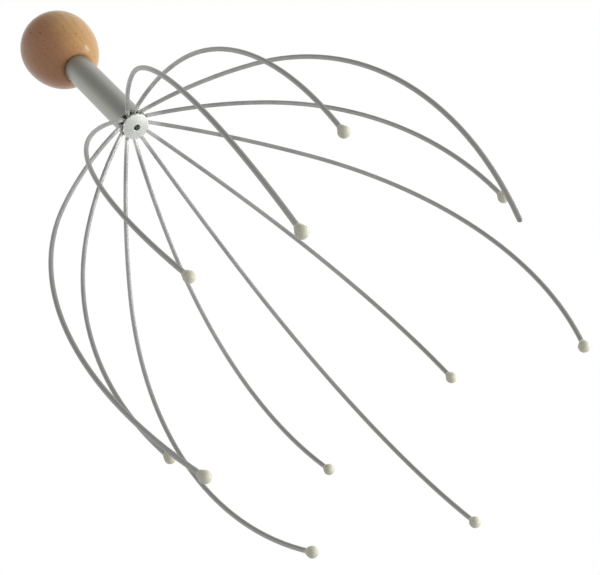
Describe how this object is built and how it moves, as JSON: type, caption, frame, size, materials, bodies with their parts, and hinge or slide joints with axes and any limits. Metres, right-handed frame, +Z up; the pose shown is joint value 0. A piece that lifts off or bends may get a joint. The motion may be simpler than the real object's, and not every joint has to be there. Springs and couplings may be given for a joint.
{
  "type": "scalp massager",
  "caption": "Hand-held head massager: turned wooden knob on a metal tube, with a cage of alternately long and short sprung wires that end in small resin beads.",
  "frame": {"origin": "on the axis of the handle, in the plane of the tube's mouth, inside the plug's centre hole", "axes": "+Z runs up the handle to the knob; the wires hang towards -Z; X and Y lie across the handle and mark no face of it"},
  "size_m": [0.1302, 0.1546, 0.2644],
  "materials": {
    "turned_wood": "turned, sanded and lacquered hardwood",
    "satin_tube": "satin drawn tube",
    "polished_plug": "polished, bright plated",
    "spring_wire": "bright drawn spring wire",
    "resin_bead": "dipped cream resin"
  },
  "bodies": {
    "handle": {"wooden_knob": "turned_wood", "handle_tube": "satin_tube", "hub_plug": "polished_plug"},
    "arm_01": {"wire_01": "spring_wire", "tip_bead_01": "resin_bead"},
    "arm_02": {"wire_02": "spring_wire", "tip_bead_02": "resin_bead"},
    "arm_03": {"wire_03": "spring_wire"},
    "arm_04": {"wire_04": "spring_wire", "tip_bead_04": "resin_bead"},
    "arm_05": {"wire_05": "spring_wire", "tip_bead_05": "resin_bead"},
    "arm_06": {"wire_06": "spring_wire", "tip_bead_06": "resin_bead"},
    "arm_07": {"wire_07": "spring_wire", "tip_bead_07": "resin_bead"},
    "arm_08": {"wire_08": "spring_wire", "tip_bead_08": "resin_bead"},
    "arm_09": {"wire_09": "spring_wire", "tip_bead_09": "resin_bead"},
    "arm_10": {"wire_10": "spring_wire", "tip_bead_10": "resin_bead"},
    "arm_11": {"wire_11": "spring_wire", "tip_bead_11": "resin_bead"},
    "arm_12": {"wire_12": "spring_wire", "tip_bead_12": "resin_bead"}
  },
  "joints": [
    {"name": "flex_01", "type": "hinge", "parent": "handle", "child": "arm_01", "pos_m": [0.00059, -0.00337, 0], "axis": [-0.9703, -0.2419, 0], "range_deg": [-6, 10], "stiffness_Nm_per_rad": 0.73},
    {"name": "flex_02", "type": "hinge", "parent": "handle", "child": "arm_02", "pos_m": [0.0022, -0.00262, 0], "axis": [-0.766, -0.6428, 0], "range_deg": [-6, 10], "stiffness_Nm_per_rad": 0.95},
    {"name": "flex_03", "type": "hinge", "parent": "handle", "child": "arm_03", "pos_m": [0.00321, -0.00117, 0], "axis": [-0.3987, -0.9171, 0], "range_deg": [-6, 10], "stiffness_Nm_per_rad": 0.73},
    {"name": "flex_04", "type": "hinge", "parent": "handle", "child": "arm_04", "pos_m": [0.00337, 0.00059, 0], "axis": [0.1564, -0.9877, 0], "range_deg": [-6, 10], "stiffness_Nm_per_rad": 0.95},
    {"name": "flex_05", "type": "hinge", "parent": "handle", "child": "arm_05", "pos_m": [0.00262, 0.0022, 0], "axis": [0.6361, -0.7716, 0], "range_deg": [-6, 10], "stiffness_Nm_per_rad": 0.73},
    {"name": "flex_06", "type": "hinge", "parent": "handle", "child": "arm_06", "pos_m": [0.00117, 0.00321, 0], "axis": [0.9659, -0.2588, 0], "range_deg": [-6, 10], "stiffness_Nm_per_rad": 0.95},
    {"name": "flex_07", "type": "hinge", "parent": "handle", "child": "arm_07", "pos_m": [-0.00059, 0.00337, 0], "axis": [0.9763, 0.2164, 0], "range_deg": [-6, 10], "stiffness_Nm_per_rad": 0.73},
    {"name": "flex_08", "type": "hinge", "parent": "handle", "child": "arm_08", "pos_m": [-0.0022, 0.00262, 0], "axis": [0.809, 0.5878, 0], "range_deg": [-6, 10], "stiffness_Nm_per_rad": 0.95},
    {"name": "flex_09", "type": "hinge", "parent": "handle", "child": "arm_09", "pos_m": [-0.00321, 0.00117, 0], "axis": [0.3746, 0.9272, 0], "range_deg": [-6, 10], "stiffness_Nm_per_rad": 0.73},
    {"name": "flex_10", "type": "hinge", "parent": "handle", "child": "arm_10", "pos_m": [-0.00337, -0.00059, 0], "axis": [-0.225, 0.9744, 0], "range_deg": [-6, 10], "stiffness_Nm_per_rad": 0.95},
    {"name": "flex_11", "type": "hinge", "parent": "handle", "child": "arm_11", "pos_m": [-0.00262, -0.0022, 0], "axis": [-0.6691, 0.7431, 0], "range_deg": [-6, 10], "stiffness_Nm_per_rad": 0.73},
    {"name": "flex_12", "type": "hinge", "parent": "handle", "child": "arm_12", "pos_m": [-0.00117, -0.00321, 0], "axis": [-0.9336, 0.3584, 0], "range_deg": [-6, 10], "stiffness_Nm_per_rad": 0.95}
  ]
}
